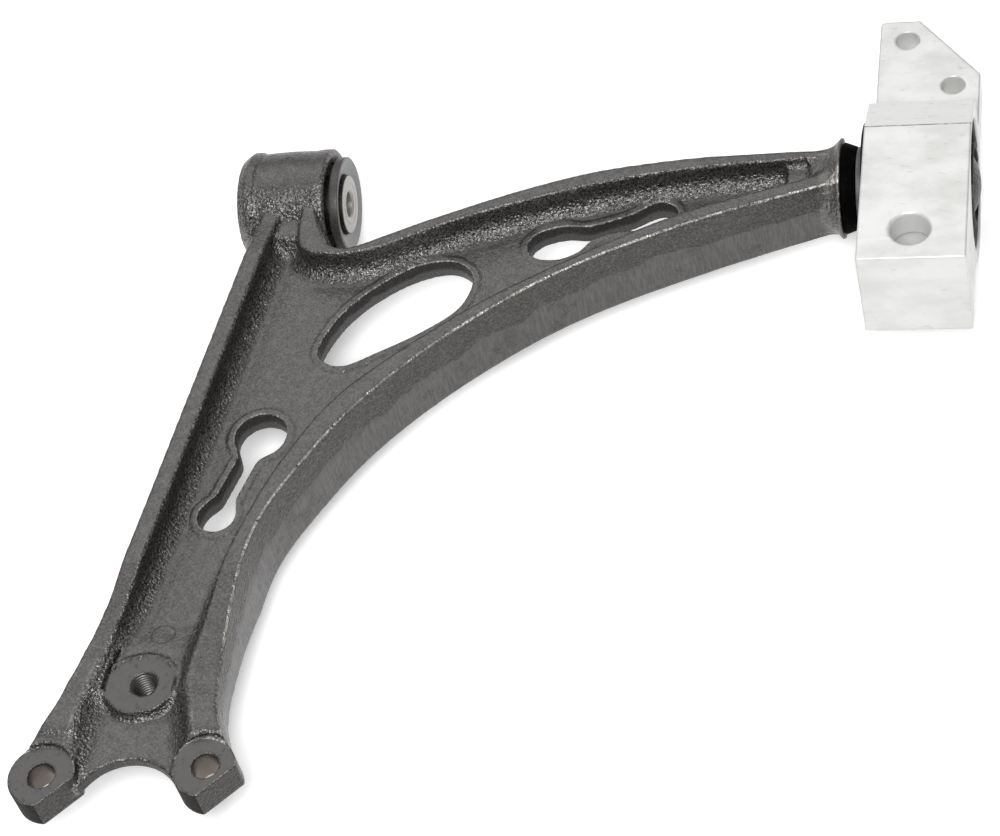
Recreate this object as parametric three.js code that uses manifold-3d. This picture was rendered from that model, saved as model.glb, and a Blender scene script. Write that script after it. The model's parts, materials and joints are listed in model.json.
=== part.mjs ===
// A front lower control arm: an L-shaped iron casting with a rubber bush pressed into its front eye, and
// a second rubber bush, held by an extruded aluminium bracket, on the stub at its rear end.
//
// Millimetres, +Z up. The design frame has its origin in the middle of the front eye. The swing axis,
// through both bushes, is +X towards the rear bracket, and the fork for the ball joint lies towards -Y. The
// web lies in the plane z = 0. At the end the whole part moves so that its origin is the middle of the
// bottom of its bounding box.

import * as THREE from "three";
import { mergeVertices } from "three/addons/utils/BufferGeometryUtils.js";
import Module from "manifold-3d";

const wasm = await Module();
wasm.setup();

// ---------------------------------------------------------------- driving dimensions

const GAP = 0.3; // clearance between neighbouring pieces
const FINE = 48; // sides of a large round
const COARSE = 24; // sides of a small round
const RIB_STEPS = 32; // steps along each edge of a rib
const CLEAR = 40; // how far a cut runs past the faces that it goes through

const WEB_HALF = 5; // half thickness of the web
const APRON_HALF = 8.05; // half thickness of the web round the pad
const RIB_HALF = 21; // half height of the left rib and the outer flange, and how high the upper rib stands
const UPPER_RIB_LOW = 10; // how far the upper rib reaches below the middle plane
const COLLAR_RIB_HALF = 18.7; // half height of the ribs where they reach the collar

const EYE = { radius: 28.4, rim: 29, half: 23.5, bore: 23.5, mouth: 25.5, rimWidth: 6, chamfer: 5, end: 25 };
const SADDLE = { left: -5, right: 15, back: -10, front: -34.5, foot: -40, half: 16 };
const LUG_HALF = 8.25; // half thickness of the fork lugs, and height of the pad
const LUG_RADIUS = 16;
const LUG_HOLE = 6.5;
const LUG_CUT_ANGLE = THREE.MathUtils.degToRad(-44.5); // the flat side of each lug faces this way
const LUGS = [
  { x: -60, y: -350, cut: 11.4 },
  { x: 17.5, y: -344, cut: 10 },
];
const LUG_TRIM = { x: 15.8, y: -345.6, radius: 16.3 }; // the right lug's cast side lies on this circle
const PAD = { x: -20.3, y: -300.5, radius: 15, hole: 5.2, sink: 6.5, apronFront: -8, apronBack: 22 };
const FORK = { x: -19.5, y: -364, radius: 26, web: 3.4, left: -43.5, right: 1 };

const COLLAR = { start: 272, face: 287.5, neck: 18, rim: 25.4 };
const COLLAR_BLOCK = { start: 260.5, end: 284, half: 14 };
const STUB = { radius: 14, end: 355.5, dome: 3.2 };

const BRACKET = { left: 300, right: 352.7, front: -77.4, top: 36, ridge: 8.2, foot: -18.2 };
const BRACKET_BACK = { y: 34.2, z: 25, wall: 40 };
const FLANGE = { top: -2.5, back: 117.5, cutX: 320.5, cutY: 78, corner: 3, hole: 6.1 };
const FLANGE_HOLES = [
  { x: 314.5, y: 103.7 },
  { x: 339, y: 70.8 },
];
const BOLT_HOLE = { x: 325.5, y: -58.9, radius: 9.9, depth: 14.4, lower: 12 };
const HOUSING = { bore: 33, belly: 38.5 };

const FRONT_OUTER = { half: 21.5, inner: 22.1 };
const FRONT_INNER = { left: -26, right: 30.2, bore: 6.6, radius: 15.2, bevel: 0.6 };
const FRONT_RUBBER = { half: 20, inner: 15.5, outer: 21.8, waist: 18, dip: 2 };
const DISC = { left: 25.3, right: 30.4, inner: 15.5, dish: 28, radius: 24.6, edge: 23.6, bevel: 0.8 };
const REAR_SLEEVE = {
  outer: HOUSING.bore - GAP,
  inner: 31.2,
  left: BRACKET.left - 1.5,
  right: BRACKET.right - 1,
};
const CORE = {
  inner: STUB.radius + GAP,
  outer: 18,
  flange: 20.6,
  flangeLeft: 295,
  flangeRight: 298.2,
  right: 351,
};
const RUBBER_SLOT = { wall: 3, sweep: 0.7, depth: 14 }; // the sweep is half its angle, in radians
const STOP_RING = { wide: 23, narrow: 20.8, bevel: 0.8 };

// ---------------------------------------------------------------- materials

function metal(color, roughness, metalness) {
  return new THREE.MeshStandardMaterial({ color, roughness, metalness });
}

const castIron = metal(0x3b3a3a, 0.6, 0.6);
const aluminium = metal(0xe4e4e2, 0.45, 0.7);
const sleeveMetal = metal(0xa9a9ab, 0.4, 0.8);
const discMetal = metal(0x6c6c6c, 0.45, 0.5);
const coreMetal = metal(0x5c5c5e, 0.5, 0.6);
const rubber = metal(0x121212, 0.8, 0);

// ---------------------------------------------------------------- solids

// A closed three.js geometry as a solid, with its faces pointing out.
function solid(geometry) {
  geometry.deleteAttribute("normal");
  geometry.deleteAttribute("uv");
  const merged = mergeVertices(geometry, 1e-4);
  const vertProperties = new Float32Array(merged.attributes.position.array);
  const triVerts = new Uint32Array(wholeTriangles(merged.index.array));
  if (signedVolume(vertProperties, triVerts) < 0) {
    triVerts.reverse();
  }
  return new wasm.Manifold(new wasm.Mesh({ numProp: 3, vertProperties, triVerts }));
}

// A lathe's triangles that touch its axis include some with two corners in one place, which are left out.
function wholeTriangles(indices) {
  const kept = [];
  for (let i = 0; i < indices.length; i += 3) {
    const [a, b, c] = indices.slice(i, i + 3);
    if (a !== b && b !== c && c !== a) {
      kept.push(a, b, c);
    }
  }
  return kept;
}

function signedVolume(positions, triangles) {
  const corner = [new THREE.Vector3(), new THREE.Vector3(), new THREE.Vector3()];
  let total = 0;
  for (let i = 0; i < triangles.length; i += 3) {
    corner.forEach((point, k) => point.fromArray(positions, triangles[i + k] * 3));
    total += corner[0].dot(corner[1].clone().cross(corner[2]));
  }
  return total;
}

function namedMesh(name, manifold, material) {
  const result = manifold.getMesh();
  const geometry = new THREE.BufferGeometry();
  geometry.setAttribute("position", new THREE.BufferAttribute(new Float32Array(result.vertProperties), 3));
  geometry.setIndex(new THREE.BufferAttribute(new Uint32Array(result.triVerts), 1));
  geometry.computeVertexNormals();
  const mesh = new THREE.Mesh(geometry, material);
  mesh.name = name;
  return mesh;
}

function fuse(solids) {
  return solids.reduce((sum, next) => sum.add(next));
}

// An outline in the XY plane, extruded from z = low to z = high.
function plate(outline, low, high) {
  const geometry = new THREE.ExtrudeGeometry(outline, { depth: high - low, bevelEnabled: false });
  return solid(geometry.translate(0, 0, low));
}

// An outline in the YZ plane, extruded from x = low to x = high.
function bar(outline, low, high) {
  const geometry = new THREE.ExtrudeGeometry(outline, { depth: high - low, bevelEnabled: false });
  const axes = new THREE.Matrix4().makeBasis(
    new THREE.Vector3(0, 1, 0),
    new THREE.Vector3(0, 0, 1),
    new THREE.Vector3(1, 0, 0),
  );
  return solid(geometry.applyMatrix4(axes).translate(low, 0, 0));
}

// A profile of [x, radius] points, turned about the swing axis. It starts and ends on the axis, or closes.
function turned(profile, sides = FINE) {
  const points = profile.map(([x, radius]) => new THREE.Vector2(radius, x));
  if (profile[0][1] > 0) {
    points.push(points[0].clone());
  }
  return solid(new THREE.LatheGeometry(points, sides).rotateZ(-Math.PI / 2));
}

// A ring about the swing axis.
function ring(left, right, inner, outer, sides = FINE) {
  return turned([[left, inner], [left, outer], [right, outer], [right, inner]], sides);
}

// An upright cylinder, or a cone frustum where the two radii differ.
function upright(x, y, low, high, radius, topRadius = radius, sides = COARSE) {
  const geometry = new THREE.CylinderGeometry(topRadius, radius, high - low, sides);
  return solid(geometry.rotateX(Math.PI / 2).translate(x, y, (low + high) / 2));
}

function block(x0, x1, y0, y1, z0, z1) {
  const geometry = new THREE.BoxGeometry(x1 - x0, y1 - y0, z1 - z0);
  return solid(geometry.translate((x0 + x1) / 2, (y0 + y1) / 2, (z0 + z1) / 2));
}

// ---------------------------------------------------------------- the casting's plan

function spline(points, steps) {
  return new THREE.SplineCurve(points.map(([x, y]) => new THREE.Vector2(x, y))).getPoints(steps);
}

// Each rib is the strip between two edges, both drawn from its fork or eye end to its far end.
const LEFT_RIB = {
  outer: [[-6, 2], [-23, -119], [-39.9, -239], [-46, -269], [-52.5, -291], [-60, -315], [-70, -340]],
  inner: [[3.5, 2], [-13.4, -119], [-30.4, -239], [-37, -272], [-42.5, -291], [-48, -313], [-50, -340]],
};
const OUTER_FLANGE = {
  outer: [
    [28, -340], [22, -325], [17.5, -310], [16.6, -285], [18, -252], [23.5, -216], [38, -184.5],
    [62, -146.5], [100, -106.5], [151, -68.2], [215, -37.5], [285, -12.5],
  ],
  inner: [
    [10, -335], [5.5, -316], [1.8, -299], [4, -276], [9.8, -240], [18, -209], [30.5, -176.5],
    [54, -137.5], [105, -92], [153, -60.8], [210, -31], [283, -5],
  ],
};
const UPPER_RIB = {
  outer: [
    [17, -12], [21.5, -27], [26, -37], [30, -44.3], [36, -47.2], [46, -45.8], [76.5, -32],
    [111, -18], [141, -7.6], [171.5, 0.2], [220.5, 6.3], [283, 9.5],
  ],
  inner: [
    [13, -12], [12.8, -32], [15, -43.7], [19.5, -48.5], [27, -50.8], [40, -51], [58, -47.2],
    [97, -30.3], [137, -17.3], [177, -7.2], [217, -1.1], [283, 5],
  ],
};

function strip(edges) {
  return new THREE.Shape([...spline(edges.outer, RIB_STEPS), ...spline(edges.inner, RIB_STEPS).reverse()]);
}

// The web fills the space between the ribs, and runs under them.
function webOutline() {
  const overlap = 1.5;
  const left = spline(LEFT_RIB.outer, 16).slice(2);
  const top = spline(UPPER_RIB.outer, 32);
  const right = spline(OUTER_FLANGE.inner, 24);
  return new THREE.Shape([
    new THREE.Vector2(2, -348),
    new THREE.Vector2(-50, -354),
    ...left.reverse().map((p) => new THREE.Vector2(p.x + overlap, p.y)),
    ...top.map((p) => new THREE.Vector2(p.x, p.y - overlap)),
    ...right.reverse().map((p) => new THREE.Vector2(p.x + overlap, p.y - overlap)),
  ]);
}

// Two round lobes joined by a neck, as a closed path round the line between their centres.
function dumbbell(big, small, neck) {
  const axis = new THREE.Vector2(small.x - big.x, small.y - big.y);
  const heading = axis.angle();
  const bigTurn = Math.asin(neck / big.radius) * 1.35;
  const smallTurn = Math.asin(neck / small.radius) * 1.2;
  const path = new THREE.Path();
  path.absarc(big.x, big.y, big.radius, heading + bigTurn, heading - bigTurn + 2 * Math.PI, false);
  const back = heading + Math.PI;
  path.absarc(small.x, small.y, small.radius, back + smallTurn, back + 2 * Math.PI - smallTurn, false);
  return new THREE.Shape(path.getPoints(10));
}

const LOWER_HOLE = [{ x: 10.2, y: -154.6, radius: 13.2 }, { x: -3.9, y: -202.6, radius: 9.5 }, 5.1];
const UPPER_HOLE = [
  [130, -37], [135, -28.7], [147.3, -24.6], [159, -25.2], [170, -22.4], [182, -17.8], [194.2, -11.1],
  [203, -13.2], [205.5, -20.5], [201, -27.8], [190, -29], [176, -29.2], [164, -33.4], [156.6, -41.8],
  [146, -46.5], [134.7, -44.9],
];
const OVAL_HOLE = [
  [31, -99], [40, -78], [56, -60.5], [75, -48.5], [93, -46], [104.5, -56.5], [100, -76],
  [83, -91], [63, -103], [45, -112], [33.5, -108],
];

function closedCurve(outline, steps) {
  const points = outline.map(([x, y]) => new THREE.Vector3(x, y, 0));
  const curve = new THREE.CatmullRomCurve3(points, true, "centripetal");
  return new THREE.Shape(curve.getPoints(steps).slice(0, -1).map((p) => new THREE.Vector2(p.x, p.y)));
}

// ---------------------------------------------------------------- the casting

// The ribs are at full height along most of the arm, and come down to the lugs at the fork.
function ribEnvelope() {
  const side = [
    [-380, LUG_HALF], [-328, 9], [-309, 10.5], [-295, 11.5], [-282, 13.6], [-261, 17], [-240, RIB_HALF],
    [40, RIB_HALF],
  ];
  const outline = [...side, ...side.map(([y, z]) => [y, -z]).reverse()];
  return bar(new THREE.Shape(outline.map(([y, z]) => new THREE.Vector2(y, z))), -100, 300);
}

function collarEnvelope() {
  const half = 60;
  const profile = [[-120, RIB_HALF], [215, RIB_HALF], [300, COLLAR_RIB_HALF]];
  const outline = [...profile, ...profile.map(([x, z]) => [x, -z]).reverse()];
  const shape = new THREE.Shape(outline.map(([x, z]) => new THREE.Vector2(x, z)));
  const geometry = new THREE.ExtrudeGeometry(shape, { depth: 400 + half, bevelEnabled: false });
  return solid(geometry.rotateX(Math.PI / 2).translate(0, half, 0));
}

// The left rib and the outer flange stand as high above the web as below it. The upper rib is shallow below.
function ribs() {
  const tall = [LEFT_RIB, OUTER_FLANGE].map((edges) => plate(strip(edges), -RIB_HALF, RIB_HALF));
  const upper = plate(strip(UPPER_RIB), -UPPER_RIB_LOW, RIB_HALF);
  return fuse([...tall, upper]).intersect(ribEnvelope()).intersect(collarEnvelope());
}

// The web is thicker round the pad and thinner at the fork.
function web() {
  const step = PAD.y + PAD.apronFront;
  const whole = plate(webOutline(), -WEB_HALF, WEB_HALF);
  const upper = whole.subtract(block(-100, 60, -400, step, -CLEAR, CLEAR));
  const fork = plate(webOutline(), -FORK.web, FORK.web);
  const apron = plate(webOutline(), -APRON_HALF, APRON_HALF).intersect(
    block(-100, 60, step, PAD.y + PAD.apronBack, -CLEAR, CLEAR),
  );
  return fuse([upper, fork, apron]);
}

function eye() {
  const { radius, rim, half, rimWidth, chamfer, end } = EYE;
  return turned([
    [-half, 0],
    [-half, end],
    [-half + chamfer, radius],
    [half - rimWidth - 2, radius],
    [half - rimWidth, rim],
    [half - 1, rim],
    [half, rim - 1],
    [half, 0],
  ]);
}

function eyeBore() {
  const { half, bore, mouth } = EYE;
  const lead = mouth - bore;
  return turned([
    [-half - 1, 0],
    [-half - 1, bore],
    [half - lead, bore],
    [half, mouth],
    [half + 1, mouth],
    [half + 1, 0],
  ]);
}

// The saddle joins the eye to the web between the two ribs that reach it.
function saddle() {
  const { left, right, back, front, foot, half } = SADDLE;
  const outline = [[back, half], [front, half], [foot, WEB_HALF - 1]];
  const both = [...outline, ...outline.map(([y, z]) => [y, -z]).reverse()];
  return bar(new THREE.Shape(both.map(([y, z]) => new THREE.Vector2(y, z))), left, right);
}

// The pocket between the ribs closes before the collar.
function collarBlock() {
  const { start, end, half } = COLLAR_BLOCK;
  const outline = new THREE.Shape([
    new THREE.Vector2(start, -17),
    new THREE.Vector2(end, -9),
    new THREE.Vector2(end, 7),
    new THREE.Vector2(start, 6),
  ]);
  return plate(outline, -half, half);
}

function collarAndStub() {
  const { start, face, neck, rim } = COLLAR;
  return turned([
    [start, 0],
    [start, neck],
    [face - 9, neck + 1.5],
    [face - 5, neck + 3.5],
    [face - 2, rim - 1.4],
    [face - 0.8, rim],
    [face, rim - 0.4],
    [face, STUB.radius],
    [STUB.end - STUB.dome, STUB.radius],
    [STUB.end - STUB.dome / 3, STUB.radius * 0.7],
    [STUB.end, STUB.radius * 0.25],
    [STUB.end, 0],
  ]);
}

function lug({ x, y, cut }) {
  const disc = upright(x, y, -LUG_HALF, LUG_HALF, LUG_RADIUS, LUG_RADIUS, FINE);
  const width = 20;
  const away = new THREE.BoxGeometry(width, 60, 40);
  away.translate(cut + width / 2, 0, 0).rotateZ(LUG_CUT_ANGLE).translate(x, y, 0);
  return disc.subtract(solid(away));
}

function lugs() {
  const [left, right] = LUGS.map(lug);
  const { x, y, radius } = LUG_TRIM;
  return [left, right.intersect(upright(x, y, -LUG_HALF, LUG_HALF, radius, radius, FINE))];
}

function armCasting() {
  const { x, y, radius, hole, sink } = PAD;
  const body = fuse([
    ribs(),
    web(),
    eye(),
    saddle(),
    collarBlock(),
    collarAndStub(),
    ...lugs(),
    upright(x, y, -LUG_HALF, LUG_HALF, radius, radius, FINE),
  ]);
  const cuts = fuse([
    eyeBore(),
    plate(dumbbell(...LOWER_HOLE), -CLEAR, CLEAR),
    plate(closedCurve(UPPER_HOLE, 48), -CLEAR, CLEAR),
    plate(closedCurve(OVAL_HOLE, 44), -CLEAR, CLEAR),
    upright(FORK.x, FORK.y, -CLEAR, CLEAR, FORK.radius, FORK.radius, FINE).intersect(
      block(FORK.left, FORK.right, -400, FORK.y + FORK.radius + 1, -CLEAR, CLEAR),
    ),
    upright(x, y, -CLEAR, CLEAR, hole),
    upright(x, y, LUG_HALF - (sink - hole), LUG_HALF + 1, hole, sink + 1),
    ...LUGS.map((spot) => upright(spot.x, spot.y, -CLEAR, CLEAR, LUG_HOLE)),
  ]);
  return body.subtract(cuts);
}

// ---------------------------------------------------------------- the front bush

function frontOuterSleeve() {
  return ring(-FRONT_OUTER.half, FRONT_OUTER.half, FRONT_OUTER.inner, EYE.bore - GAP);
}

function frontRubber() {
  const { half, inner, outer, waist, dip } = FRONT_RUBBER;
  return turned([
    [-half, inner],
    [-half + dip, waist],
    [-half, outer],
    [half, outer],
    [half - dip, waist],
    [half, inner],
  ]);
}

function frontInnerSleeve() {
  const { left, right, bore, radius, bevel } = FRONT_INNER;
  return turned([
    [left, bore],
    [left, radius - bevel],
    [left + bevel, radius],
    [right - bevel, radius],
    [right, radius - bevel],
    [right, bore],
  ]);
}

// Its outer face is dished towards the sleeve.
function frontStopDisc() {
  const { left, right, inner, dish, radius, edge, bevel } = DISC;
  return turned([
    [left, inner],
    [left, radius - bevel],
    [left + bevel, radius],
    [right - bevel, radius],
    [right, edge],
    [dish, inner],
  ]);
}

// ---------------------------------------------------------------- the rear bracket and bush

function bracketProfile() {
  const { front, top, ridge, foot } = BRACKET;
  const { y, z, wall } = BRACKET_BACK;
  const { belly } = HOUSING;
  const reach = Math.sqrt(belly ** 2 - foot ** 2);
  const start = Math.atan2(foot, reach);
  const outline = new THREE.Shape();
  outline.moveTo(front, foot);
  outline.lineTo(-reach, foot);
  outline.absarc(0, 0, belly, Math.PI - start, 2 * Math.PI + start, false);
  outline.lineTo(FLANGE.back, foot);
  outline.lineTo(FLANGE.back, FLANGE.top);
  outline.lineTo(wall + 3, FLANGE.top);
  outline.quadraticCurveTo(wall, FLANGE.top, wall, FLANGE.top + 3);
  outline.lineTo(wall - 1.5, 14);
  outline.lineTo(y, z);
  outline.lineTo(ridge, top);
  outline.lineTo(front, top);
  return outline;
}

function rearBracket() {
  const { left, right, top, foot } = BRACKET;
  const { cutX, cutY, corner, back } = FLANGE;
  const { x, y, radius, depth, lower } = BOLT_HOLE;
  const profile = bracketProfile();
  profile.holes.push(new THREE.Path().absarc(0, 0, HOUSING.bore, 0, 2 * Math.PI, true));
  const blank = bar(profile, left, right);
  const slanted = new THREE.Shape([
    new THREE.Vector2(cutX, back),
    new THREE.Vector2(right, cutY),
    new THREE.Vector2(right + 20, cutY),
    new THREE.Vector2(right + 20, back + 20),
    new THREE.Vector2(cutX, back + 20),
  ]);
  const rounded = new THREE.Shape();
  rounded.moveTo(left, back - corner);
  rounded.absarc(left + corner, back - corner, corner, Math.PI, Math.PI / 2, true);
  rounded.lineTo(left + corner, back + 2);
  rounded.lineTo(left - 2, back + 2);
  rounded.lineTo(left - 2, back - corner);
  const cuts = fuse([
    plate(slanted, -60, 60),
    plate(rounded, -60, 60),
    upright(x, y, foot - 1, top + 1, radius, radius, FINE),
    upright(x, y, foot - 1, top - depth, lower, lower, FINE),
    ...FLANGE_HOLES.map((hole) => upright(hole.x, hole.y, foot - 1, FLANGE.top + 1, FLANGE.hole)),
  ]);
  return blank.subtract(cuts);
}

function rearOuterSleeve() {
  return ring(REAR_SLEEVE.left, REAR_SLEEVE.right, REAR_SLEEVE.inner, REAR_SLEEVE.outer);
}

// The rubber has two kidney-shaped slots, open at the right end, above and below the core.
function rearRubber() {
  const { wall, sweep, depth } = RUBBER_SLOT;
  const inner = CORE.outer + GAP;
  const outer = REAR_SLEEVE.inner - GAP;
  const left = CORE.flangeRight + 2;
  const body = ring(left, REAR_SLEEVE.right, inner, outer);
  const slots = [Math.PI / 2, -Math.PI / 2].map((middle) => {
    const slot = new THREE.Shape();
    slot.absarc(0, 0, outer - wall, middle - sweep, middle + sweep, false);
    slot.absarc(0, 0, inner + wall, middle + sweep, middle - sweep, true);
    return bar(slot, left + depth, REAR_SLEEVE.right + CLEAR);
  });
  return body.subtract(fuse(slots));
}

function rearCore() {
  const { inner, outer, flange, flangeLeft, flangeRight, right } = CORE;
  return turned([
    [flangeLeft, inner],
    [flangeLeft, flange],
    [flangeRight, flange],
    [flangeRight, outer],
    [right, outer],
    [right, inner],
  ]);
}

function rearStopRing() {
  const { wide, narrow, bevel } = STOP_RING;
  const inner = STUB.radius + GAP;
  const left = COLLAR.face + GAP;
  const right = CORE.flangeLeft - GAP;
  return turned([
    [left, inner],
    [left, wide - bevel / 2],
    [left + bevel, wide],
    [right, narrow],
    [right, inner],
  ]);
}

// ---------------------------------------------------------------- the assembly

const design = new THREE.Group();
design.add(
  namedMesh("arm_casting", armCasting(), castIron),
  namedMesh("front_bush_outer_sleeve", frontOuterSleeve(), sleeveMetal),
  namedMesh("front_bush_rubber", frontRubber(), rubber),
  namedMesh("front_bush_inner_sleeve", frontInnerSleeve(), sleeveMetal),
  namedMesh("front_bush_stop_disc", frontStopDisc(), discMetal),
  namedMesh("rear_bracket", rearBracket(), aluminium),
  namedMesh("rear_bush_outer_sleeve", rearOuterSleeve(), rubber),
  namedMesh("rear_bush_rubber", rearRubber(), rubber),
  namedMesh("rear_bush_inner_core", rearCore(), coreMetal),
  namedMesh("rear_bush_stop_ring", rearStopRing(), rubber),
);

const bounds = new THREE.Box3().setFromObject(design);
const centre = bounds.getCenter(new THREE.Vector3());
design.position.set(-centre.x, -centre.y, -bounds.min.z);

const group = new THREE.Group();
group.add(design);
group.updateMatrixWorld(true);

export default group;
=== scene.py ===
"""A front lower control arm: a ribbed iron casting, a rubber bush in its front eye, and a second bush in an
aluminium bracket on its rear stub.

Sizes are millimetres in the design frame. Its origin is the middle of the front eye, +X runs along the swing
axis to the rear bracket, and -Y runs to the fork for the ball joint. Meshes are made in metres in the frame
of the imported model.
"""

import json
import math
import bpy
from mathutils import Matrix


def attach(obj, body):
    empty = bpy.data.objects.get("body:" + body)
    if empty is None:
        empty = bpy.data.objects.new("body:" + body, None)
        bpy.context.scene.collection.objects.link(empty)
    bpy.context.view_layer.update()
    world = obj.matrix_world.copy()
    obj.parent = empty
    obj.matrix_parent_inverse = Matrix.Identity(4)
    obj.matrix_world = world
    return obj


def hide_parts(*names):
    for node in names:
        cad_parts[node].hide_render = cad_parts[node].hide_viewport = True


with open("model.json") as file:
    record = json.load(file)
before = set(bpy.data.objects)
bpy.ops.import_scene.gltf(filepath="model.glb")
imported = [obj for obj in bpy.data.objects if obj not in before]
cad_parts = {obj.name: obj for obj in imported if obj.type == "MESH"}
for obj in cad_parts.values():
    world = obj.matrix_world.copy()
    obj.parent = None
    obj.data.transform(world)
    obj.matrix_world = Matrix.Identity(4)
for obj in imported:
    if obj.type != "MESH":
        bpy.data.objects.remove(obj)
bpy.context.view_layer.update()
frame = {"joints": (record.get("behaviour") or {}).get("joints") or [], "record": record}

from types import SimpleNamespace

import bpy
import numpy as np
from mathutils import Matrix, Vector

# ---- the design frame

MM = 0.001
JOINTS = {joint["name"]: joint for joint in frame["joints"]}
EYE_CENTRE = Vector(JOINTS["front_bush_twist"]["pos_m"])


def to_model(points):
    """Points in design millimetres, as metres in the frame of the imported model."""
    return np.asarray(points, float) * MM + np.array(EYE_CENTRE)


# ---- the casting's dimensions

WEB = 5.0  # half thickness of the web
RIB = 21.0  # half height of the ribs
UPPER_RIB_LOW = 10.0  # how far the upper rib reaches below the middle plane
FORK_WEB = 3.4  # half thickness of the web at the fork
APRON = 7.7  # half thickness of the web round the pad
DRAFT = math.tan(math.radians(2.5))  # how the walls lean
# Radii of the fillets where one part of the casting grows out of another, and of its rounded edges.
FILLET = {
    "rib": 9.5, "rib_by_fork": 14.5, "lip": 1.2, "saddle": 3.0, "lug": 2.5, "pad": 4.0, "neck": 4.0,
    "eye": 1.1, "slot": 4.5, "pocket_floor": 3.0,
}
EDGE = {
    "rib": 1.6, "web": 1.0, "lip": 0.4, "face": 0.3, "fork": 1.5, "opening": 0.7, "spot": 0.25,
    "groove": 0.2, "eye": 0.5, "bore": 0.4, "flat": 0.6, "stub": 0.8,
}
EYE = {"radius": 28.4, "rim": 29.0, "half": 23.5, "bore": 23.5}
LUG = {"half": 8.25, "radius": 16.0, "hole": 6.5}
LUG_TAPER = 0.03  # how much smaller the radius of the hole is, for each millimetre down
LUG_CUT = math.radians(-44.5)  # the way the flat side of each lug faces
LUGS = [(-60.0, -350.0, 11.4), (17.5, -344.0, 10.0)]  # x, y, and how far the flat side is from the hole
LUG_TRIM = (15.8, -345.6, 16.3)  # the cast side of the right lug lies on this circle
PAD = {"ends": ((-20.3, -300.5), (-24.3, -301.1)), "radius": 15.0, "hole": 5.2, "sink": 6.6}
PAD_GROOVE = [(-35.5, -282.5), (-38, -290.8), (-39.4, -298), (-39.6, -303.5)]
RING_MARK = (-17.1, -271.5, 5.7)  # x, y and radius of a mark cast into the web
FORK = {"x": -19.5, "y": -364.0, "radius": 26.0, "left": -43.5, "right": 1.0}
COLLAR = {"start": 272.0, "face": 287.5, "neck": 18.0, "rim": 25.4}
STUB = {"radius": 14.0, "end": 355.5, "dome": 28.0}  # the dome is the radius of its rounded end

LEFT_RIB = (
    [(-6, 2), (-23, -119), (-39.9, -239), (-46, -269), (-52.5, -291), (-60, -315), (-70, -340)],
    [(3.5, 2), (-13.4, -119), (-30.4, -239), (-37, -272), (-42.5, -291), (-48, -313), (-50, -340)],
)
OUTER_FLANGE = (
    [
        (28, -340), (22, -325), (17.5, -310), (16.6, -285), (18, -252), (23.5, -216), (38, -184.5),
        (62, -146.5), (100, -106.5), (151, -68.2), (215, -37.5), (285, -12.5),
    ],
    [
        (10, -335), (5.5, -316), (1.8, -299), (4, -276), (9.8, -240), (18, -209), (30.5, -176.5),
        (54, -137.5), (105, -92), (153, -60.8), (210, -31), (283, -5),
    ],
)
UPPER_RIB = (
    [
        (17, -12), (21.5, -27), (26, -37), (30, -44.3), (36, -47.2), (46, -45.8), (76.5, -32),
        (111, -18), (141, -7.6), (171.5, 0.2), (220.5, 6.3), (283, 9.5),
    ],
    [
        (13, -12), (12.8, -32), (15, -43.7), (19.5, -48.5), (27, -50.8), (40, -51), (58, -47.2),
        (97, -30.3), (137, -17.3), (177, -7.2), (217, -1.1), (283, 5),
    ],
)
# The two lobes of the lower slot, as x, y and radius, and half the width of the neck between them.
LOWER_SLOT = ((10.2, -154.6, 13.2), (-3.9, -202.6, 9.5), 5.1)
UPPER_SLOT = [
    (130, -37), (135, -28.7), (147.3, -24.6), (159, -25.2), (170, -22.4), (182, -17.8), (194.2, -11.1),
    (203, -13.2), (205.5, -20.5), (201, -27.8), (190, -29), (176, -29.2), (164, -33.4), (156.6, -41.8),
    (146, -46.5), (134.7, -44.9),
]
OVAL_HOLE = [
    (31, -99), (40, -78), (56, -60.5), (75, -48.5), (93, -46), (104.5, -56.5), (100, -76),
    (83, -91), (63, -103), (45, -112), (33.5, -108),
]
# Half height of the ribs, by y near the fork and by x near the collar.
HEIGHT_BY_Y = [
    (-345, 8.6), (-331.5, 8.6), (-326.5, 11.2), (-309, 11.4), (-295, 12), (-282, 13.6), (-261, 17),
    (-240, RIB),
]
HEIGHT_BY_X = [(215, RIB), (300, 18.7)]
EYE_DROP = 2.8  # how much lower the left rib is where it meets the eye

# ---- outlines and distances


def spline(points, closed=False):
    """A smooth curve through the points."""
    steps = 5  # from each point to the next
    points = np.asarray(points, float)
    count = len(points)
    spans = count if closed else count - 1
    t = np.linspace(0, 1, steps, endpoint=False)[:, None]
    curve = []
    for i in range(spans):
        if closed:
            a, b, c, d = (points[(i + k) % count] for k in (-1, 0, 1, 2))
        else:
            a, b, c, d = (points[min(max(i + k, 0), count - 1)] for k in (-1, 0, 1, 2))
        square = a - 2.5 * b + 2 * c - 0.5 * d
        curve.append(b + 0.5 * t * (c - a) + t**2 * square + 0.5 * t**3 * (3 * (b - c) + d - a))
    if not closed:
        curve.append(points[-1:])
    return np.concatenate(curve)


def strip(edges):
    """The closed outline of a rib, between its two edges."""
    return np.concatenate([spline(edges[0]), spline(edges[1])[::-1]])


def web_outline():
    """The web fills the space between the ribs, and runs under them."""
    under = 1.5  # how far it runs under them
    left = spline(LEFT_RIB[0])[2::2] + (under, 0)
    top = spline(UPPER_RIB[0])[::2] + (0, -under)
    right = spline(OUTER_FLANGE[1])[::2] + (under, -under)
    return np.concatenate([[(2, -348), (-50, -354)], left[::-1], top, right[::-1]])


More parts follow.
